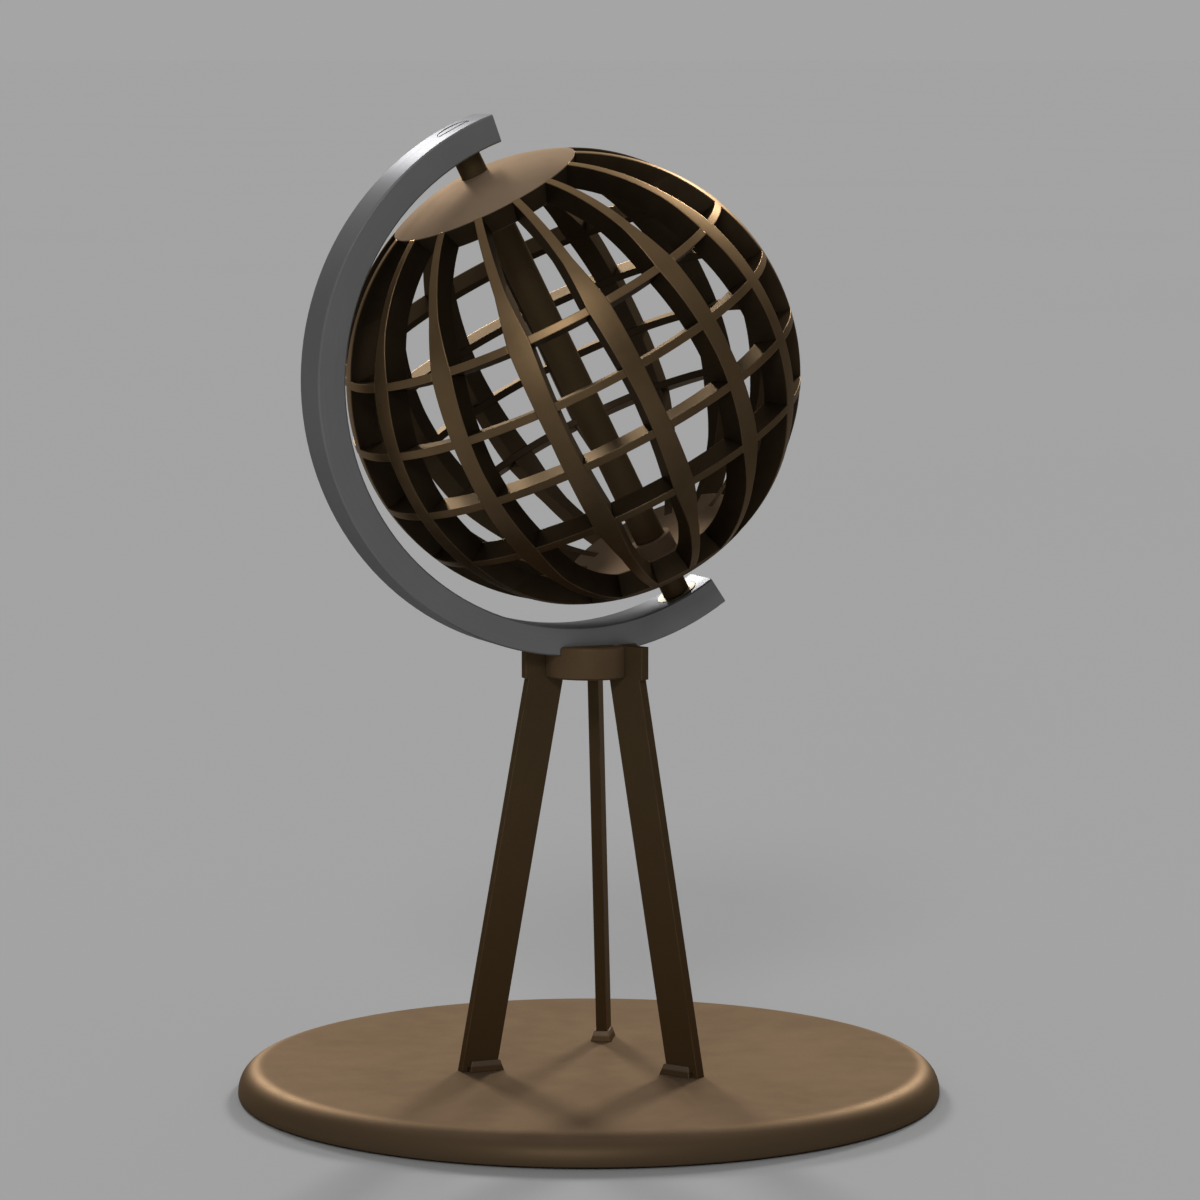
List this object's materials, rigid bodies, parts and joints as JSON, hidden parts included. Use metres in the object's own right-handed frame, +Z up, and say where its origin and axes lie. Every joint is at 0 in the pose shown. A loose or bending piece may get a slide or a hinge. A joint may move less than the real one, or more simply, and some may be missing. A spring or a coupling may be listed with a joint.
{
  "type": "terrestrial globe",
  "caption": "Open lattice ball on a leaning axis in a C-shaped meridian arm, carried by a three-legged stand on a round base plate.",
  "frame": {"origin": "centre of the underside, where the felt disc rests on the table", "axes": "+Z up. The meridian arm stands in the XZ plane with its back towards -X, and the north end of the ball's axis leans towards -X. The rear leg is on the -X side"},
  "size_m": [0.312, 0.312, 0.4341],
  "materials": {
    "bronze_paint": "aged bronze paint, satin, rubbed lighter on edges",
    "dark_bronze_paint": "dark brown bronze paint, satin",
    "arm_steel": "dull grey steel, lightly brushed along the arc",
    "bush_brass": "dulled turned brass",
    "screw_steel": "plain screw steel",
    "felt": "black pressed felt"
  },
  "bodies": {
    "stand": {"base_plate": "bronze_paint", "felt_pad": "felt", "rear_leg": "dark_bronze_paint", "left_leg": "dark_bronze_paint", "right_leg": "dark_bronze_paint", "rear_foot": "bronze_paint", "left_foot": "bronze_paint", "right_foot": "bronze_paint", "foot_screws": "screw_steel", "hub": "bronze_paint", "leg_screws": "screw_steel", "meridian_arm": "arm_steel", "arm_screws": "screw_steel", "upper_bush": "bush_brass", "lower_bush": "bush_brass", "upper_end_plug": "arm_steel", "lower_end_plug": "arm_steel"},
    "ball": {"spindle": "bronze_paint", "north_cap": "bronze_paint", "south_cap": "bronze_paint", "grub_screws": "screw_steel", "north_outer_hoop": "bronze_paint", "north_inner_hoop": "bronze_paint", "south_inner_hoop": "bronze_paint", "south_outer_hoop": "bronze_paint", "rib_01": "bronze_paint", "rib_02": "bronze_paint", "rib_03": "bronze_paint", "rib_04": "bronze_paint", "rib_05": "bronze_paint", "rib_06": "bronze_paint", "rib_07": "bronze_paint", "rib_08": "bronze_paint", "rib_09": "bronze_paint", "rib_10": "bronze_paint", "rib_11": "bronze_paint", "rib_12": "bronze_paint", "rib_13": "bronze_paint", "rib_14": "bronze_paint", "rib_15": "bronze_paint"}
  },
  "joints": [
    {"name": "globe_spin", "type": "hinge", "parent": "stand", "child": "ball", "pos_m": [-0.0078, 0, 0.3194], "axis": [-0.4571, 0, 0.8894], "continuous": true}
  ]
}
